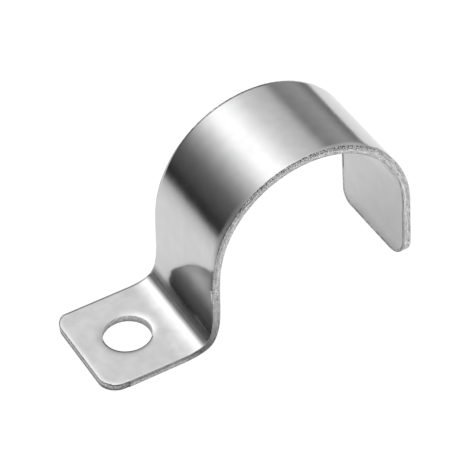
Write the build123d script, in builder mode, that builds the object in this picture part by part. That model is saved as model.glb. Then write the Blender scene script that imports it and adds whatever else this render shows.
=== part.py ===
"""One-lug pipe strap: a strip of bright steel sheet, bent to hold a pipe down with a single screw.

The origin is on the pipe's axis, half way across the strip. +X runs from the screw foot to the free leg,
+Y along the pipe, and +Z away from the wall that the foot is screwed to.
"""

import os
from math import cos, radians, sin, tan

from build123d import *

# Strip, in millimetres
strip_width = 20.0
sheet_thickness = 1.4

# Seat that wraps the pipe
pipe_diameter = 35.0
pipe_axis_height = 14.8  # above the underside of the foot
leg_end_height = 0.8  # the free leg stops short of the wall, so that the screw can draw the strap down

# Shoulder and riser between seat and foot, with angles in degrees
shoulder_radius = 19.9  # on the pipe side, a little slacker than the seat
shoulder_turn = 34.6
riser_lean = 2.6  # off square to the foot, away from the screw

# Crease where the riser meets the foot
crease_radius = 4.2  # in the hollow
crease_thinning = 0.1  # share of the thickness that the bending punch squeezes out

# Foot and its screw hole, which is placed by the flat metal on either side of it
hole_diameter = 8.5
hole_to_end = 8.95
hole_to_bend = 6.65

# Blanking
foot_corner_radius = 3.4
leg_corner_radius = 4.0
edge_roll = 0.2  # the punch rounds every rim of the outside, and leaves the pipe side's rims sharp

# Worked out from the sizes above
pipe_radius = pipe_diameter / 2
half_width = strip_width / 2
bend_turn = 90 - riser_lean
seat_wrap = 90 + bend_turn - shoulder_turn
leg_end_level = leg_end_height - pipe_axis_height
crease_reach = 1 / cos(radians(bend_turn / 2)) - 1
outer_crease_radius = crease_radius + sheet_thickness * (1 + crease_thinning / crease_reach)

# The shoulder's centre lies on the line where seat and shoulder meet, and its arc ends where the riser starts
shoulder_offset = pipe_radius - shoulder_radius
riser_top_x = shoulder_offset * cos(radians(seat_wrap)) - shoulder_radius * cos(radians(riser_lean))
riser_top_z = shoulder_offset * sin(radians(seat_wrap)) + shoulder_radius * sin(radians(riser_lean))
riser_foot_x = riser_top_x - (riser_top_z + pipe_axis_height) * tan(radians(riser_lean))
bend_start_x = riser_foot_x - outer_crease_radius * tan(radians(bend_turn / 2))
hole_x = bend_start_x - hole_to_bend
foot_end_x = hole_x - hole_to_end
touch = 0.01  # closer than this, an edge lies on the outside


def strap_side(outset, bend_radius):
    """Draw one side of the bent sheet, outset from the pipe side, from the free leg's end to the foot's."""
    leg_x = pipe_radius + outset
    foot_z = outset - pipe_axis_height
    Line((leg_x, leg_end_level), (leg_x, 0))
    seat = CenterArc((0, 0), leg_x, 0, seat_wrap)
    shoulder = JernArc(seat @ 1, seat % 1, shoulder_radius + outset, shoulder_turn)
    riser_top = shoulder @ 1
    crease_x = riser_top.X - (riser_top.Y - foot_z) * tan(radians(riser_lean))
    FilletPolyline(riser_top, (crease_x, foot_z), (foot_end_x, foot_z), radius=bend_radius)


with BuildLine() as pipe_side:
    strap_side(0, outer_crease_radius)

with BuildLine() as outside:
    strap_side(sheet_thickness, crease_radius)

pipe_side_line = pipe_side.wire()
outside_line = outside.wire()


def is_outer_rim(edge):
    """Tell whether an edge is a rim of the sheet's outside, and not a line where a bend starts."""
    middle = edge @ 0.5
    on_outside = outside_line.distance_to(Vector(middle.X, middle.Z)) < touch
    straight_across = edge.geom_type == GeomType.LINE and abs((edge % 0.5).Y) > 0.5
    at_foot_end = abs(middle.X - foot_end_x) < touch
    at_leg_end = middle.X > 0 and abs(middle.Z - leg_end_level) < touch
    return on_outside and (not straight_across or at_foot_end or at_leg_end)


with BuildPart() as clamp_strap:
    # Bent strip: its section, drawn out to the strip's width
    with BuildSketch(Plane.XZ):
        with BuildLine():
            add(pipe_side_line)
            add(outside_line)
            Line(pipe_side_line @ 0, outside_line @ 0)
            Line(pipe_side_line @ 1, outside_line @ 1)
        make_face()
    extrude(amount=half_width, both=True)

    # Rounded ends of the blank
    foot_corners = clamp_strap.edges().filter_by(Axis.Z).group_by(Axis.X)[0]
    fillet(foot_corners, radius=foot_corner_radius)
    leg_corners = clamp_strap.edges().filter_by(Axis.X).filter_by(lambda edge: edge.center().X > 0)
    fillet(leg_corners.group_by(Axis.Z)[0], radius=leg_corner_radius)

    # Screw hole, punched through the foot from above
    with Locations((hole_x, 0, sheet_thickness - pipe_axis_height)):
        Hole(radius=hole_diameter / 2, depth=sheet_thickness)

    # Rolled rims of the outside, the hole's included
    fillet(clamp_strap.edges().filter_by(is_outer_rim), radius=edge_roll)

clamp_strap.part.label = "clamp_strap"

os.makedirs("parts", exist_ok=True)
export_step(clamp_strap.part, "parts/clamp_strap.step")
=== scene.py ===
"""Looks for the one-lug pipe strap: its bright steel sheet, the camera and the studio round it.

Everything is in metres in the CAD frame: the origin on the pipe's axis, +X from the screw foot to the free
leg, +Y along the pipe and +Z away from the wall. The strap's front is its side at -Y. Angles are given in
degrees.
"""

from math import cos, pi, radians, sin, tan

import bmesh
import bpy
import numpy as np
from mathutils import Matrix, Vector


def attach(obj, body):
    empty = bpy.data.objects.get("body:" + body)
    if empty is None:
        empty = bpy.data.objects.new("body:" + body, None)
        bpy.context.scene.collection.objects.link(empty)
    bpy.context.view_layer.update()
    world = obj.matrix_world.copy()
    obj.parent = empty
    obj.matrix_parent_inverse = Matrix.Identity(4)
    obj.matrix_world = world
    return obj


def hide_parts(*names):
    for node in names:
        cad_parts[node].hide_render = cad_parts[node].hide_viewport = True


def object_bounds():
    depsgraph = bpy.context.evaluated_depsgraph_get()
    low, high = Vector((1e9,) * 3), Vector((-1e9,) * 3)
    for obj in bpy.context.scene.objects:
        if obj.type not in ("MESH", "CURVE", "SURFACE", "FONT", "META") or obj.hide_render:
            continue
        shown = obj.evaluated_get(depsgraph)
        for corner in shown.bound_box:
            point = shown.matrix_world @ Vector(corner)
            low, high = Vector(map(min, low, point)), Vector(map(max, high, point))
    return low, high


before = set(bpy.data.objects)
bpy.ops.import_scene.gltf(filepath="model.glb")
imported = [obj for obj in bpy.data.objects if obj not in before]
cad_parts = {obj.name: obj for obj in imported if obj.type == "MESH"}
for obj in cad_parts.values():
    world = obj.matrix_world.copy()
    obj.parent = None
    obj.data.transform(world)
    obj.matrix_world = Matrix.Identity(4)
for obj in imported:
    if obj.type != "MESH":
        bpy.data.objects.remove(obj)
cad_box = [list(corner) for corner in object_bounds()]
scene = bpy.context.scene

# Camera
# A long lens looks down on the strap from the foot's side and from in front, with the horizon tipped by a
# few degrees, so that the strap runs up the picture from its screw hole to its free leg.

camera_azimuth = radians(-26.664)
camera_height = radians(42.823)
camera_roll = radians(-4.173)
camera_distance = 0.44756
aim_right = -0.008125
aim_up = -0.00472
picture_side = 470
focal_pixels = 2662.9
sensor_width = 36.0

back = Vector((
    sin(camera_azimuth) * cos(camera_height),
    -cos(camera_azimuth) * cos(camera_height),
    sin(camera_height),
))
level_right = Vector((cos(camera_azimuth), sin(camera_azimuth), 0.0))
level_up = back.cross(level_right)
right = cos(camera_roll) * level_right + sin(camera_roll) * level_up
up = back.cross(right)

camera = bpy.data.objects.new("camera", bpy.data.cameras.new("camera"))
scene.collection.objects.link(camera)
camera.data.lens = focal_pixels / picture_side * sensor_width
camera.data.sensor_width = sensor_width
camera.data.clip_start = 0.01
camera.data.clip_end = 10.0
camera.matrix_world = Matrix.LocRotScale(
    aim_right * right + aim_up * up + camera_distance * back,
    Matrix((right, up, back)).transposed(),
    None,
)
scene.camera = camera
scene.view_settings.view_transform = "Standard"

# Strap
# One strip of bright cold-rolled steel. Its ends are cropped round and its screw hole is punched, both from
# the outside, and it is then bent over a former. The shears leave each outer rim rolled over, and the cut
# face below it first burnished and then torn, with a fine burr along the pipe side.

sheet_thickness = 0.0014
half_width = 0.010
pipe_radius = 0.0175
pipe_axis_height = 0.0148
leg_end_height = 0.0008
shoulder_radius = 0.0199
shoulder_turn = 34.6
riser_lean = 2.6
crease_radius = 0.0042
outer_crease_radius = 0.005965
bend_turn = 90 - riser_lean
seat_wrap = 90 + bend_turn - shoulder_turn
foot_end_x = cad_box[0][0]

# The former's nose makes half of the turn, in a short length, and the sheet bows gently on either side of it,
# for longer on the riser's side
crease_ease = 0.0018
nose_share = 0.5
nose_place = 0.45
nose_length = 0.12
heading_steps = 2000

# The riser has begun to curve well before the shoulder
shoulder_ease = 0.0029
ease_points = 21

run_steps = {"foot": 1, "crease": 80, "riser": 12, "shoulder": 40, "seat": 150, "leg": 4}


def on_arc(centre, radius, start, end, share):
    """Points on an arc: centre plus radius along the angle that goes evenly from start to end, in degrees."""
    angle = np.radians(start + (end - start) * share)
    return np.stack([centre[0] + radius * np.cos(angle), centre[1] + radius * np.sin(angle)], -1)


def on_line(start, end, share):
    """Points on a straight line: start plus share of the way to end."""
    return np.asarray(start) + np.asarray(share)[:, None] * (np.asarray(end) - np.asarray(start))


def on_crease(corner, reach, share):
    """Points on the crease, from foot to riser, through a corner that the two straight runs would make.

    The heading turns evenly with share, and fastest at the nose. Its running sum is scaled so that the
    crease's ends stand twice the reach from the corner, both together.
    """
    fine = np.linspace(0, 1, heading_steps + 1)
    step = np.tanh((fine - nose_place) / nose_length)
    at_nose = (step - step[0]) / (step[-1] - step[0])
    heading = np.radians(bend_turn) * ((1 - nose_share) * fine + nose_share * at_nose)
    steps = np.stack([np.cos(heading), np.sin(heading)], -1)
    walked = np.concatenate([[[0.0, 0.0]], np.cumsum((steps[1:] + steps[:-1]) / 2, axis=0)])
    riser_reach = walked[-1, 1] / sin(radians(bend_turn))
    foot_reach = walked[-1, 0] - riser_reach * cos(radians(bend_turn))
    true_size = 2 * reach / (foot_reach + riser_reach)
    start = np.array([corner[0] - foot_reach * true_size, corner[1]])
    return start + np.stack([np.interp(share, fine, walked[:, axis] * true_size) for axis in (0, 1)], -1)


def strap_side(outset, bend_radius):
    """One side of the sheet as x and z, run by run, at stations that face each other through the sheet."""
    shares = {run: np.linspace(0, 1, steps + 1) for run, steps in run_steps.items()}
    seat_end = radians(seat_wrap)
    riser_end = radians(180 - riser_lean)
    shoulder_offset = pipe_radius - shoulder_radius
    shoulder_centre = np.array([shoulder_offset * cos(seat_end), shoulder_offset * sin(seat_end)])
    bend = shoulder_radius + outset
    riser_top = shoulder_centre + bend * np.array([cos(riser_end), sin(riser_end)])
    foot_z = outset - pipe_axis_height
    corner = np.array([riser_top[0] - (riser_top[1] - foot_z) * tan(radians(riser_lean)), foot_z])
    reach = bend_radius * tan(radians(bend_turn / 2)) + crease_ease
    crease = on_crease(corner, reach, shares["crease"])
    leg_x = pipe_radius + outset
    runs = [
        on_line((foot_end_x, foot_z), crease[0], shares["foot"]),
        crease,
        on_line(crease[-1], riser_top, shares["riser"]),
        on_arc(shoulder_centre, bend, 180 - riser_lean, seat_wrap, shares["shoulder"]),
        on_arc((0, 0), leg_x, seat_wrap, 0, shares["seat"]),
        on_line((leg_x, 0), (leg_x, leg_end_height - pipe_axis_height), shares["leg"]),
    ]
    return np.concatenate([runs[0]] + [run[1:] for run in runs[1:]])


outside = strap_side(sheet_thickness, crease_radius)
pipe_side = strap_side(0.0, outer_crease_radius)
middle_steps = np.linalg.norm(np.diff((outside + pipe_side) / 2, axis=0), axis=1)
stations = np.concatenate([[0.0], np.cumsum(middle_steps)])
blank_length = stations[-1]
crease_nose = stations[run_steps["foot"] + round(nose_place * run_steps["crease"])]
shoulder_start = stations[run_steps["foot"] + run_steps["crease"] + run_steps["riser"]]
leg_start = stations[-1 - run_steps["leg"]]


def on_sheet(along, across, depth):
    """A point of the flat blank, bent: the two sides' points at along, mixed by depth, with across as y.

    Depth is 0 on the outside and 1 on the pipe side. Near the shoulder's start each side's point is the mean
    of its neighbours within a window, which is whole up to 1.25 eases away and closes at 3.75 eases.
    """
    window = shoulder_ease * np.clip(1.5 - np.abs(along - shoulder_start) / (2.5 * shoulder_ease), 0, 1)
    nearby = np.asarray(along)[..., None] + np.asarray(window)[..., None] * np.linspace(-1, 1, ease_points)
    sides = []
    for side in (outside, pipe_side):
        sides.append([np.interp(nearby, stations, side[:, axis]).mean(-1) for axis in (0, 1)])
    x = sides[0][0] * (1 - depth) + sides[1][0] * depth
    z = sides[0][1] * (1 - depth) + sides[1][1] * depth
    return np.stack([x, across + 0 * x, z], -1)


# Outline of the flat blank, along and across, anticlockwise from the crease's front. The crop tool stood a
# little to the back, so its round corners meet the slit sides in a bend at the back and in a small step in
# front, where the cut changes at crop_end
foot_corner_radius = 0.0034
leg_front_radius = 0.0050
leg_back_radius = 0.0024
crop_shift_back = 0.00037
crop_shift_front = 0.00010
crop_end = 0.0041
crop_step = 0.0001
slit_start = 0.005
leg_margin = 0.0005

# How finely the blank is divided
rows_across = 24
corner_steps = 18
foot_end_steps = 12
foot_side_steps = 19
foot_back_steps = 21
crease_columns_in_ring = 14
ring_steps = 16


def blank_corner(centre, radius, start, end):
    """A rounded corner of the blank, as points along and across, from the start angle to the end angle."""
    return on_arc(centre, radius, start, end, np.linspace(0, 1, corner_steps + 1))


def blank_side(along, across):
    """A straight side of the blank: a point for each value of along, all at the same place across."""
    return np.stack([along, np.full(len(along), across)], -1)


ring_end = run_steps["foot"] + crease_columns_in_ring
ring_along = stations[ring_end]
leg_columns = np.linspace(leg_start, blank_length - leg_front_radius - leg_margin, run_steps["leg"] + 1)[1:]
columns = np.concatenate([stations[ring_end:-run_steps["leg"]], leg_columns])

front_corner = blank_corner(
    (foot_corner_radius, foot_corner_radius + crop_shift_front - half_width), foot_corner_radius, 180, 270
)
back_start = 90 + np.degrees(np.arccos((foot_corner_radius - crop_shift_back) / foot_corner_radius))
back_corner = blank_corner(
    (foot_corner_radius, half_width + crop_shift_back - foot_corner_radius),
    foot_corner_radius, back_start, 180,
)
foot_end = on_line(back_corner[-1], front_corner[0], np.linspace(0, 1, foot_end_steps + 1)[1:-1])
foot_front = blank_side(np.concatenate([
    crop_end + np.array([-crop_step, 0.0, crop_step]),
    np.linspace(slit_start, ring_along, foot_side_steps + 1)[:-1],
]), -half_width)
foot_front[0, 1] += crop_shift_front
foot_back = blank_side(np.linspace(ring_along, back_corner[0, 0], foot_back_steps + 1)[1:-1], half_width)

leg_front = blank_corner(
    (blank_length - leg_front_radius, leg_front_radius - half_width), leg_front_radius, 270, 360
)
leg_back = blank_corner(
    (blank_length - leg_back_radius, half_width - leg_back_radius), leg_back_radius, 0, 90
)
leg_end = on_line(leg_front[-1], leg_back[0], np.linspace(0, 1, rows_across + 1)[1:-1])

outline = np.concatenate([
    blank_side(columns, -half_width), leg_front, leg_end, leg_back, blank_side(columns[::-1], half_width),
    foot_back, back_corner, foot_end, front_corner, foot_front,
])
long_side = len(columns) + corner_steps + 1


def outward(loop):
    """Outward normals at an anticlockwise loop's points: the mean of the two edges' right-hand normals."""
    edges = np.roll(loop, -1, axis=0) - loop
    edges /= np.linalg.norm(edges, axis=1)[:, None]
    mean = edges + np.roll(edges, 1, axis=0)
    normal = np.stack([mean[:, 1], -mean[:, 0]], -1)
    return normal / np.linalg.norm(normal, axis=1)[:, None]


def ramp(value, start, end):
    """How far value has come from start to end: 0 before start, 1 past end, and even between them."""
    return np.clip((value - start) / (end - start), 0, 1)


# Rim of the sheet, from its rolled outside to the burr on its pipe side
roll_steps = 10
corner_angles = np.radians([25, 50, 70, 90])
torn_from = 0.46
wall_depths = np.array([0.22, 0.3, 0.44, torn_from, 0.54, 0.68, 0.84, 0.92, 1.0])
torn_taper = 0.00001
burr_height = 0.00008
burr_width = 0.00045
burr_places = np.array([0.12, 0.5, 1.0])
burr_heights = np.array([0.98, 0.35, 0.0])
random = np.random.default_rng(5)


def rim_grid(loop, normal, roll_width, roll_depth, corner_width, corner_depth, burr):
    """The sheet's rim round a loop, as along, across and depth, with each size given once or point by point.

    Depth first grows as the cube of the way across the roll, then goes round the corner in a quarter ellipse,
    then straight down; below torn_from the wall leans in by torn_taper, unevenly. Past the pipe side stands a
    burr of the given height, that falls back to the sheet over burr_width.
    """
    sizes = (roll_width, roll_depth, corner_width, corner_depth, burr)
    roll_width, roll_depth, corner_width, corner_depth, burr = (
        np.broadcast_to(size, len(loop))[:, None] for size in sizes
    )
    share = np.linspace(0, 1, roll_steps)
    torn = np.clip((wall_depths - torn_from) / (1 - torn_from), 0, 1)
    uneven = random.uniform(0.5, 1.5, (len(loop), len(wall_depths)))
    inset = np.concatenate([
        corner_width + roll_width * (1 - share),
        corner_width * (1 - np.sin(corner_angles)),
        torn_taper * torn * uneven,
        burr_width * burr_places + 0 * roll_width,
    ], axis=1)
    down = np.concatenate([
        roll_depth * share ** 3 / sheet_thickness,
        (roll_depth + corner_depth * (1 - np.cos(corner_angles))) / sheet_thickness,
        wall_depths + (wall_depths == 1) * burr / sheet_thickness,
        1 + burr_heights * burr / sheet_thickness,
    ], axis=1)
    return loop[:, 0:1] - inset * normal[:, 0:1], loop[:, 1:2] - inset * normal[:, 1:2], down


# Shares say where the rim is: end and back follow its direction, and the leg and the crown's front their
# stretch of the strip. At the crop's step the rim still faces straight to the front
step_reach = 0.0003
crown_stretch = (0.062, 0.071, 0.075, 0.079)
leg_stretch = (0.076, 0.080)

outline_normal = outward(outline)
on_front = outline[:, 1] < 0
outline_normal[(abs(outline[:, 0] - crop_end) < step_reach) & on_front] = (0, -1)
end_share = outline_normal[:, 0] ** 2
back_share = np.clip(outline_normal[:, 1], 0, 1) ** 2
crown_share = np.interp(outline[:, 0], crown_stretch, (0, 1, 1, 0)) * on_front
leg_share = ramp(outline[:, 0], *leg_stretch) * (1 - end_share)


def round_blank(side, end=0.0, back=0.0, leg=0.0, crown=0.0):
    """A size of the rim at each point of the outline: that of a side, and what each share adds to it."""
    return side + end * end_share + back * back_share + leg * leg_share + crown * crown_share


burr_stretch = (ring_along, ring_along + 0.004)
rim = rim_grid(
    outline,
    outline_normal,
    roll_width=round_blank(0.0006, end=0.0007, leg=-0.00035, crown=0.0014),
    roll_depth=round_blank(0.00007, end=0.00002, back=0.00003, leg=-0.00004, crown=0.00006),
    corner_width=round_blank(0.00006, end=-0.00004, back=0.00012, leg=-0.00003),
    corner_depth=round_blank(0.00005, end=-0.00003, back=0.00002, leg=-0.00002),
    burr=burr_height * ramp(outline[:, 0], *burr_stretch),
)
rim_along, rim_depth = rim[0], rim[2]

# How bright the cut faces are: slit sides have a dull burnished band and a brighter torn band, which change
# along the strip where the bending has stretched them; cropped ends are torn all the way, and the punched
# hole is burnished nearly down. Each list gives a place along, for the slit sides, or a depth, then the
# brightness
burnished_grey = np.array([
    (0.014, 0.27), (0.0175, 0.16), (0.0205, 0.2), (0.0235, 0.34), (0.029, 0.47), (0.035, 0.43),
    (0.042, 0.39), (0.050, 0.31), (0.058, 0.36), (0.066, 0.33), (0.072, 0.42), (0.080, 0.51),
])
torn_grey = np.array([
    (0.014, 0.46), (0.0175, 0.17), (0.0205, 0.21), (0.0235, 0.38), (0.029, 0.5), (0.035, 0.57),
    (0.042, 0.58), (0.050, 0.5), (0.058, 0.57), (0.080, 0.59),
])
cropped_grey = np.array([(0.06, 0.11), (0.16, 0.14), (0.45, 0.4), (0.72, 0.26), (0.86, 0.2), (1.0, 0.19)])
end_grey = np.array([(0.1, 0.34), (0.3, 0.5), (0.5, 0.46), (0.7, 0.2), (1.0, 0.15)])
punched_grey = np.array([(0.1, 0.4), (0.16, 0.42), (0.22, 0.52), (0.54, 0.44), (0.84, 0.32), (1.0, 0.2)])
# The burr's slope is matt and darkest next to the cut face, a painted shadow along the pipe side's edge
burr_grey_and_shadow = (0.3, 0.46, 0.58)

# The two bands meet over a range of depths, and next to the burr the slit sides carry a painted shadow along
# the arch
bands_meet = (0.44, 0.56)
burr_shadow_depths = (0.84, 0.96)
burr_shadow_stretch = (0.036, 0.056)
burr_shadow_most = 0.35
burr_shadow_least_share = 0.1
end_facings = (0.6, 0.85)

torn_share = ramp(rim_depth, *bands_meet)
burnished = np.interp(rim_along, *burnished_grey.T)
torn = np.interp(rim_along, *torn_grey.T)
# Painted shadow of the burr on the slit sides
burr_shadow = burr_shadow_most * np.maximum(ramp(rim_along, *burr_shadow_stretch), burr_shadow_least_share)
slit = (burnished * (1 - torn_share) + torn * torn_share) * (1 - burr_shadow * ramp(rim_depth, *burr_shadow_depths))
facing_end = -outline_normal[:, :1]
at_end = ramp(facing_end, *end_facings)
cropped = np.interp(rim_depth, *cropped_grey.T) * (1 - at_end) + np.interp(rim_depth, *end_grey.T) * at_end
rim_grey = np.where(outline[:, 0:1] < crop_end, cropped, slit)
rim_grey[:, 0] = 0
rim_grey[:, -len(burr_grey_and_shadow):] = burr_grey_and_shadow

# The tools have scraped the outermost part of the roll matt: a thin line past the crease, and all of it along
# the leg, where it carries painted shade. A painted dark reflection lies in front where the riser meets the
# shoulder, and another makes a dark line at the foot's end
line_steps = 3
scraped_from = 0.022
scraped_wide = (0.073, 0.080)
leg_roll_shade = 0.2
dark_reflection_start = 0.0305
dark_reflection_end = 0.0355
dark_reflection_grey = 0.25

worn = slice(1, roll_steps + 2)
worn_level = np.arange(1, roll_steps + 2)
worn_along = rim_along[:, worn]
onto_leg = ramp(worn_along, *scraped_wide)
scraped = (worn_level > (roll_steps - line_steps) * (1 - onto_leg)) & (worn_along > scraped_from)
# On the leg the scraped roll carries painted shade
scraped_and_shaded_grey = scraped * burnished[:, worn] * (1 - leg_roll_shade * onto_leg)
facing_front = -outline_normal[:, 1:]
# A painted dark reflection in front, and another along the foot's end
in_dark_reflection = (worn_along > dark_reflection_start) & (worn_along < dark_reflection_end) & (facing_front > 0.5)
end_dark_reflection = (worn_level > roll_steps - line_steps) & (facing_end > end_facings[0])
rim_grey[:, worn] = np.where(in_dark_reflection | end_dark_reflection, dark_reflection_grey, scraped_and_shaded_grey)

# A dark nick, with no speckle close to it, marks the step at the crop's end, and over the arch the burnished
# band is coarse
nick_darkness = 0.85
nick_reach = 0.00008
plain_reach = 0.0004
arch_coarseness = 1.8
arch_begins = (0.042, 0.048)
arch_ends = (0.077, 0.071)

from_nick = rim_along - crop_end
rim_grey *= 1 - nick_darkness * np.exp(-(from_nick / nick_reach) ** 2)
over_arch = np.minimum(ramp(rim_along, *arch_begins), ramp(rim_along, *arch_ends))
rim_speckle = 1.0 + arch_coarseness * over_arch * (1 - torn_share)
rim_speckle *= 1 - np.exp(-(from_nick / plain_reach) ** 2)

mesh_points, mesh_faces, cut_faces = [], [], []
point_values = {"along": [], "depth": [], "cut_grey": [], "speckle": []}


def add_patch(along, across, depth, grey, speckle=0.0, flip=False):
    """Bend a grid of the blank into the mesh, with its cut grey and speckle; flip turns its faces round.

    A face is a cut face where the grey is above 0 at both ends of its diagonal.
    """
    points = on_sheet(along, across, depth)
    values = [np.broadcast_to(value, along.shape) for value in (along, depth, grey, speckle)]
    if flip:
        points = points[:, ::-1]
        values = [value[:, ::-1] for value in values]
    for kept, value in zip(point_values.values(), values):
        kept.append(value.reshape(-1))
    index = np.arange(along.size).reshape(along.shape) + sum(len(part) for part in mesh_points)
    quads = np.stack([index[:-1, :-1], index[1:, :-1], index[1:, 1:], index[:-1, 1:]], -1)
    mesh_points.append(points.reshape(-1, 3))
    mesh_faces.append(quads.reshape(-1, 4))
    laid_grey = values[2]
    cut_faces.append((laid_grey[:-1, :-1] * laid_grey[1:, 1:] > 0).reshape(-1))


def closed(grid):
    """A grid whose first row is repeated at its end, which closes the loop."""
    return np.concatenate([grid, grid[:1]])


def face_strip(border):
    """The sheet's face from the crease to the leg's end, and the loop round the rest of it, the foot.

    Each row goes evenly from front to back. The border is the rim's own, so that the face ends where the rim
    begins.
    """
    front = border[:long_side]
    last = border[long_side:long_side + rows_across - 1]
    rear = border[long_side + rows_across - 1:2 * long_side + rows_across - 1][::-1]
    share = np.linspace(0, 1, rows_across + 1)[None, :, None]
    strip = front[:, None] * (1 - share) + rear[:, None] * share
    strip[-1, 1:-1] = last
    return strip, np.concatenate([strip[0], border[2 * long_side + rows_across - 1:]])


def foot_ring(hole_edge, foot_loop):
    """The foot's face: points that go evenly from the hole's edge to the loop round the foot."""
    share = np.linspace(0, 1, ring_steps + 1)[None, :, None]
    return closed(hole_edge)[:, None] * (1 - share) + closed(foot_loop)[:, None] * share


def border_of(grid, column):
    """One column of a rim grid, as points along and across: 0 borders the outside and -1 the pipe side."""
    return np.stack([grid[0][:, column], grid[1][:, column]], -1)


add_patch(*(closed(part) for part in rim), closed(rim_grey), closed(rim_speckle), flip=True)

# Screw hole, which the punch has dished a little. About half of its lip, on the camera's side, carries
# painted shade, a dark line
hole_radius = 0.0042
hole_centre = np.array([0.009, 0.00018])
lip_shade_towards = np.array([-0.45, -0.89])
lip_shade_most = 4
lip_shade_grey = 0.2
punched_speckle = 0.4

outer_strip, outer_loop = face_strip(border_of(rim, 0))
toward = outer_loop - hole_centre
toward /= np.linalg.norm(toward, axis=1)[:, None]
hole_rim = rim_grid(
    hole_centre + hole_radius * toward,
    -toward,
    roll_width=0.0019,
    roll_depth=0.00019,
    corner_width=0.00003,
    corner_depth=0.00003,
    burr=0.0,
)
hole_grey = np.interp(hole_rim[2], *punched_grey.T)
# Painted shade on the lip's half towards the camera
lip_shade_steps = lip_shade_most * ramp((toward @ lip_shade_towards)[:, None], -0.1, 0.4)
hole_grey[:, :roll_steps + 2] = (np.arange(roll_steps + 2) > roll_steps + 1 - lip_shade_steps) * lip_shade_grey
hole_grey[:, -len(burr_grey_and_shadow):] = burr_grey_and_shadow

add_patch(outer_strip[..., 0], outer_strip[..., 1], 0.0, 0.0)
add_patch(*(closed(part) for part in hole_rim), closed(hole_grey), punched_speckle)
outer_ring = foot_ring(border_of(hole_rim, 0), outer_loop)
add_patch(outer_ring[..., 0], outer_ring[..., 1], 0.0, 0.0, flip=True)

inner_strip, inner_loop = face_strip(border_of(rim, -1))
add_patch(inner_strip[..., 0], inner_strip[..., 1], 1.0, 0.0, flip=True)
inner_ring = foot_ring(border_of(hole_rim, -1), inner_loop)
add_patch(inner_ring[..., 0], inner_ring[..., 1], 1.0, 0.0)

weld_distance = 1e-7
sharp_from = radians(40)

mesh = bpy.data.meshes.new("bent_strap")
mesh.from_pydata(np.concatenate(mesh_points).tolist(), [], np.concatenate(mesh_faces).tolist())
for name, parts in [*point_values.items(), ("cut", cut_faces)]:
    layer = mesh.attributes.new(name, "FLOAT", "FACE" if name == "cut" else "POINT")
    layer.data.foreach_set("value", np.concatenate(parts).astype(np.float32))
welded = bmesh.new()
welded.from_mesh(mesh)
bmesh.ops.remove_doubles(welded, verts=welded.verts, dist=weld_distance)
welded.to_mesh(mesh)
welded.free()
mesh.shade_smooth()
mesh.set_sharp_from_angle(angle=sharp_from)
strap = bpy.data.objects.new("bent_strap", mesh)
scene.collection.objects.link(strap)


class Wire:
    """A node's output. Python's operators on it add Math nodes, and node() adds any other node."""

    def __init__(self, tree, socket=None):
        self.tree = tree
        self.socket = socket

    def node(self, kind, settings=None, inputs=None, output=0):
        """Add a node: its settings first, then the values or links of its sockets, and return one output.

        A ramp's stops are pairs of a position and a grey, and all are moved before any is coloured.
        """
        node = self.tree.nodes.new(kind)
        for name, value in (settings or {}).items():
            if name == "stops":
                ramp_stops = node.color_ramp.elements
                while len(ramp_stops) < len(value):
                    ramp_stops.new(0.5)
                for stop, (position, grey) in zip(ramp_stops, value):
                    stop.position = position
                for stop, (position, grey) in zip(ramp_stops, value):
                    stop.color = (grey, grey, grey, 1.0)
            else:
                setattr(node, name, value)
        for name, value in (inputs or {}).items():
            if isinstance(value, Wire):
                self.tree.links.new(value.socket, node.inputs[name])
            else:
                node.inputs[name].default_value = value
        return Wire(self.tree, node.outputs[output] if len(node.outputs) else None)

    def out(self, name):
        """Another output of the same node."""
        return Wire(self.tree, self.socket.node.outputs[name])

    def math(self, operation, *values):
        """Add a Math node on the given values."""
        return self.node("ShaderNodeMath", {"operation": operation}, dict(enumerate(values)))

    def __add__(self, other):
        return self.math("ADD", self, other)

    def __sub__(self, other):
        return self.math("SUBTRACT", self, other)

    def __mul__(self, other):
        return self.math("MULTIPLY", self, other)

    def __rsub__(self, other):
        return self.math("SUBTRACT", other, self)

    __radd__ = __add__
    __rmul__ = __mul__


def new_material(name):
    """An empty node material, returned with the wire that its nodes are added through."""
    material = bpy.data.materials.new(name)
    material.use_nodes = True
    material.node_tree.nodes.clear()
    return material, Wire(material.node_tree)


def noise(place, scale, detail):
    """Soft random clouds, about 0.5 on the whole and one over scale across."""
    return place.node(
        "ShaderNodeTexNoise", inputs={"Vector": place, "Scale": scale, "Detail": detail}, output="Fac"
    )


def smooth(value, start, end, first=0.0, last=1.0):
    """Go smoothly from first to last while value goes from start to end, and stay level past both."""
    return value.node(
        "ShaderNodeMapRange", {"interpolation_type": "SMOOTHSTEP"},
        {"Value": value, "From Min": start, "From Max": end, "To Min": first, "To Max": last},
    )


def past_nose(along, rises, whole, falls, gone):
    """A band across the strip, 0 to 1 and back to 0, at four distances past the crease's nose."""
    return (
        smooth(along, crease_nose + rises, crease_nose + whole)
        * smooth(along, crease_nose + falls, crease_nose + gone, 1.0, 0.0)
    )


def colour_of(grey, blue):
    """A colour with the same red and green, and its own blue."""
    return grey.node("ShaderNodeCombineColor", inputs={"Red": grey, "Green": grey, "Blue": blue})


steel, wire = new_material("bright_steel")
place = wire.node("ShaderNodeTexCoord", output="Object")
place_across = wire.node("ShaderNodeSeparateXYZ", inputs={0: place}, output="Y")
along, depth, cut_grey, speckle, cut = (
    wire.node("ShaderNodeAttribute", {"attribute_name": name}, output="Fac")
    for name in ("along", "depth", "cut_grey", "speckle", "cut")
)

# Rolling grain is faint lines along the strip, which lies in x and z, so its noise is squeezed in y. Smudges
# and shallow waves lie on the faces; tears, and scores that run along them, on the cut faces
grain_scale = (120.0, 5200.0, 120.0)
score_scale = (700, 6000, 3.5)

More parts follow.
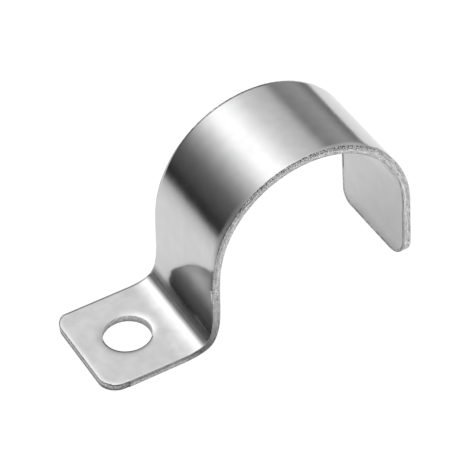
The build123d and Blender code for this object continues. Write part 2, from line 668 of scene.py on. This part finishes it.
grain_place = wire.node("ShaderNodeMapping", inputs={"Vector": place, "Scale": grain_scale})
grain = noise(grain_place, scale=1.0, detail=2.0)
smudge = noise(place, scale=420.0, detail=6.0)
wave = noise(place, scale=260.0, detail=1.0)
tear = noise(place, scale=4200.0, detail=1.0)
scored_place = wire.node("ShaderNodeCombineXYZ", inputs={
    0: along * score_scale[0], 1: place_across * score_scale[1], 2: depth * score_scale[2]
})
scores = noise(scored_place, scale=1.0, detail=2.0)

# Marks on the faces: the former's nose has rubbed the crease matt, with a little painted shade in its colour,
# painted shade lies beside it, most of all on the front, the arch's front edge is rubbed where it rises, and
# inside the leg are painted shade at the tip and a finger mark
tip_length = 0.0035
finger_place = (0.01634, -0.0079, 0.00627)
finger_core = 0.0003
finger_reach = 0.0016

# Painted shade: the dull band darkens a little and the two bands beside it more, deepening the dark
# reflection past the crease
dull_and_shade = past_nose(along, rises=-0.0004, whole=0.0001, falls=0.0012, gone=0.0024)
crease_shade = past_nose(along, rises=0.0001, whole=0.0006, falls=0.0012, gone=0.0030)
in_front = smooth(place_across, 0.003, 0.0065, first=1.0, last=0.0)
front_crease_shade = past_nose(along, rises=0.0004, whole=0.0015, falls=0.0016, gone=0.0062) * in_front
front_edge = smooth(place_across, -0.0096, -0.0084, first=1.0, last=0.0)
front_rub = past_nose(along, rises=0.0145, whole=0.0195, falls=0.026, gone=0.033) * front_edge
# Painted shade inside the leg, darker towards its end
leg_tip_shade = smooth(along, blank_length - tip_length, blank_length, first=0.05, last=0.25)
from_finger = wire.node(
    "ShaderNodeVectorMath", {"operation": "DISTANCE"}, {0: place, 1: finger_place}, output="Value"
)
finger_mark = smooth(from_finger, finger_core, finger_reach, first=0.38, last=0.0)

# Colour: the flat foot is painted brighter than what was bent, a painted highlight, and it is more smudged;
# painted shade and a finger mark take away a share of the brightness, and the steel has a trace of blue
foot_skin_highlight = 0.67
bent_skin = 0.61
skin_change = 0.003
smudge_share = 0.18
foot_smudge_gain = 3
dull_shade_loss = 0.08
crease_shade_loss = 0.38
front_crease_shade_loss = 0.49
tear_share = 2.4
score_share = 1.5
face_blue = 1.006
cut_blue = 1.01

# The foot's skin is painted brighter than the bent steel's, a painted highlight
skin_with_foot_highlight = smooth(along, crease_nose - skin_change, crease_nose + skin_change, foot_skin_highlight, bent_skin)
face_grey = (
    skin_with_foot_highlight * (1 + (smudge - 0.5) * ((skin_with_foot_highlight - bent_skin) * foot_smudge_gain + smudge_share))
    * (1 - depth * leg_tip_shade) * (1 - depth * finger_mark)
    * (1 - dull_and_shade * dull_shade_loss) * (1 - crease_shade * crease_shade_loss) * (1 - front_crease_shade * front_crease_shade_loss)
)
speckled_grey = cut_grey * (1 + (tear - 0.5) * tear_share * speckle + (scores - 0.5) * score_share)
face_colour = colour_of(face_grey, face_grey * face_blue)
cut_colour = colour_of(speckled_grey, speckled_grey * cut_blue)
colour = wire.node(
    "ShaderNodeMix", {"data_type": "RGBA"}, {"Factor": cut, 6: face_colour, 7: cut_colour}, output=2
)

# Finish: the faces are nearly mirrors and the cut faces matt, and grain, waves and tears are a fine relief
face_matt = 0.15
cut_matt = 0.42
smudge_matt = 0.07
grain_matt = 0.05
dull_matt = 0.24
rub_matt = 0.26
tear_matt = 0.3
grain_height = 0.02
wave_height = 1.2
relief_strength = 0.5
relief_depth = 0.00003

face_roughness = (
    face_matt + (smudge - 0.5) * smudge_matt + (grain - 0.5) * grain_matt
    + dull_and_shade * dull_matt + front_rub * rub_matt
)
cut_roughness = cut_matt + (tear - 0.5) * tear_matt
roughness = face_roughness * (1 - cut) + cut_roughness * cut
relief = ((grain - 0.5) * grain_height + wave * wave_height) * (1 - cut) + tear * cut
bump = wire.node(
    "ShaderNodeBump", inputs={"Strength": relief_strength, "Distance": relief_depth, "Height": relief}
)
surface = wire.node(
    "ShaderNodeBsdfPrincipled",
    inputs={"Base Color": colour, "Metallic": 1.0, "Roughness": roughness, "Normal": bump},
)
wire.node("ShaderNodeOutputMaterial", inputs={"Surface": surface})
mesh.materials.append(steel)
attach(strap, "root")
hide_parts("clamp_strap")

# Table
# The strap stands on a small round table of white board. The camera sees it as evenly white with a trace of
# the strap's shadow, and the metal sees it as it is lit, with a little light of its own, dimmer to the left.

table_radius = 0.24
table_level = -pipe_axis_height
table_corners = 96
picture_white = 1.06
board_white = 0.8
table_glow = 5.0
lit_share_in_metal = 0.93
lit_share_in_picture = 0.08

spoke = np.linspace(0, 2 * pi, table_corners + 1)[:-1]
floor_points = np.stack([
    table_radius * np.cos(spoke), table_radius * np.sin(spoke), np.full(table_corners, table_level)
], -1)
floor_mesh = bpy.data.meshes.new("floor")
floor_mesh.from_pydata(floor_points.tolist(), [], [list(range(table_corners))])
floor = bpy.data.objects.new("floor", floor_mesh)
scene.collection.objects.link(floor)

paper, wire = new_material("white_table")
to_camera = wire.node("ShaderNodeLightPath", output="Is Camera Ray")
seen = to_camera + to_camera.out("Is Glossy Ray") + to_camera.out("Is Transmission Ray")
table_place = wire.node("ShaderNodeTexCoord", output="Object")
table_x = wire.node("ShaderNodeSeparateXYZ", inputs={0: table_place}, output="X")
left_falloff = smooth(table_x, start=-0.14, end=-0.04, first=0.5, last=1.0)
shading = lit_share_in_metal - to_camera * (lit_share_in_metal - lit_share_in_picture)
board_grey = (to_camera + (1 - to_camera) * left_falloff) * board_white
lit = wire.node("ShaderNodeBsdfDiffuse", inputs={"Color": colour_of(board_grey, board_grey)})
glow_grey = to_camera * picture_white + (1 - to_camera) * left_falloff * table_glow
glow = wire.node("ShaderNodeEmission", inputs={"Color": colour_of(glow_grey, glow_grey)})
white = wire.node("ShaderNodeMixShader", inputs={0: shading, 1: glow, 2: lit})
board = wire.node("ShaderNodeMixShader", inputs={0: seen.math("MINIMUM", seen, 1.0), 1: lit, 2: white})
wire.node("ShaderNodeOutputMaterial", inputs={"Surface": board})
floor_mesh.materials.append(paper)

# Tent wall
# The light tent's left side is one upright sheet of white cloth close to the strap, glowing with painted
# light.
# Only the metal sees it: grey at its hem, nearly black just above, and then brighter all the way up.

tent_left = -0.13
tent_front = -0.05
tent_back = 0.6
tent_top = 0.30
cloth_brightness = 1.7
tent_glow_greys = [
    (0.0, 0.2), (0.028, 0.05), (0.055, 0.012), (0.101, 0.027), (0.139, 0.051), (0.189, 0.067),
    (0.236, 0.084), (0.289, 0.114), (0.348, 0.174), (0.417, 0.256), (0.5, 0.37), (0.606, 0.493),
    (0.748, 0.665), (0.954, 0.825),
]

wall_mesh = bpy.data.meshes.new("tent_wall")
wall_mesh.from_pydata([
    (tent_left, tent_front, table_level), (tent_left, tent_back, table_level),
    (tent_left, tent_back, tent_top), (tent_left, tent_front, tent_top),
], [], [(0, 1, 2, 3)])
tent_wall = bpy.data.objects.new("tent_wall", wall_mesh)
scene.collection.objects.link(tent_wall)
tent_wall.visible_camera = False
tent_wall.visible_diffuse = False
tent_wall.visible_shadow = False

cloth, wire = new_material("tent_cloth")
wall_place = wire.node("ShaderNodeTexCoord", output="Object")
height = wire.node("ShaderNodeSeparateXYZ", inputs={0: wall_place}, output="Z")
up_the_wall = (height - table_level) * (1 / (tent_top - table_level))
tent_glow_grey = wire.node("ShaderNodeValToRGB", {"stops": tent_glow_greys}, {0: up_the_wall})
cloth_light = wire.node(
    "ShaderNodeMix", {"data_type": "RGBA", "blend_type": "MULTIPLY"},
    {"Factor": 1.0, 6: tent_glow_grey, 7: (cloth_brightness, cloth_brightness, cloth_brightness, 1.0)}, output=2,
)
cloth_glow = wire.node("ShaderNodeEmission", inputs={"Color": cloth_light, "Strength": 1.0})
wire.node("ShaderNodeOutputMaterial", inputs={"Surface": cloth_glow})
wall_mesh.materials.append(cloth)

# Room
# What the metal sees past the table and the wall: a long softbox along the pipe, overhead and a little to the
# left, between a dark left side and a dim right one, and a grey front that is brighter higher up.

overhead_brightness = 1.76
overhead_greys = [
    (0.20, 0.01), (0.25, 0.012), (0.27, 0.04), (0.31, 0.07), (0.345, 0.15), (0.38, 0.33), (0.41, 0.61),
    (0.445, 0.91), (0.48, 0.96), (0.51, 0.76), (0.545, 0.55), (0.58, 0.46), (0.615, 0.39), (0.645, 0.155),
    (0.68, 0.195), (0.715, 0.235), (0.74, 0.18), (0.755, 0.12),
]

world = bpy.data.worlds.new("studio")
scene.world = world
world.use_nodes = True
world.node_tree.nodes.clear()
wire = Wire(world.node_tree)
direction = wire.node("ShaderNodeTexCoord", output="Generated")
to_right = wire.node("ShaderNodeSeparateXYZ", inputs={0: direction}, output="X")
to_back = to_right.out("Y")
upwards = to_right.out("Z")

# Its greys go round the pipe's axis: 0.5 is straight up, 0.25 level to the left and 0.75 level to the right
round_pipe = wire.math("ARCTAN2", to_right, upwards)
overhead = wire.node("ShaderNodeValToRGB", {"stops": overhead_greys}, {0: 0.5 + round_pipe * (0.5 / pi)})

# The softbox gives way to the front and is dimmer at the far back, and a dim panel on the right stops short
# of the back
front = smooth(to_back, start=-0.25, end=0.25, first=1.0, last=0.0)
front_grey = smooth(upwards, start=-0.05, end=0.35, first=0.28, last=0.84)
softbox_length = smooth(to_back, start=0.74, end=0.97, first=1.0, last=0.42)
panel_length = smooth(to_back, start=0.58, end=0.645, first=1.0, last=0.0)
right_panel = smooth(round_pipe, start=0.75, end=0.9, first=0.0, last=0.25)
room = (
    overhead * overhead_brightness * (1 - front) * softbox_length
    + front_grey * front
    + panel_length * right_panel * (1 - front)
)
to_camera = wire.node("ShaderNodeLightPath", output="Is Camera Ray")
sky = wire.node(
    "ShaderNodeBackground",
    inputs={"Color": (1.0, 1.0, 1.0, 1.0), "Strength": to_camera * picture_white + room * (1 - to_camera)},
)
wire.node("ShaderNodeOutputWorld", inputs={"Surface": sky})
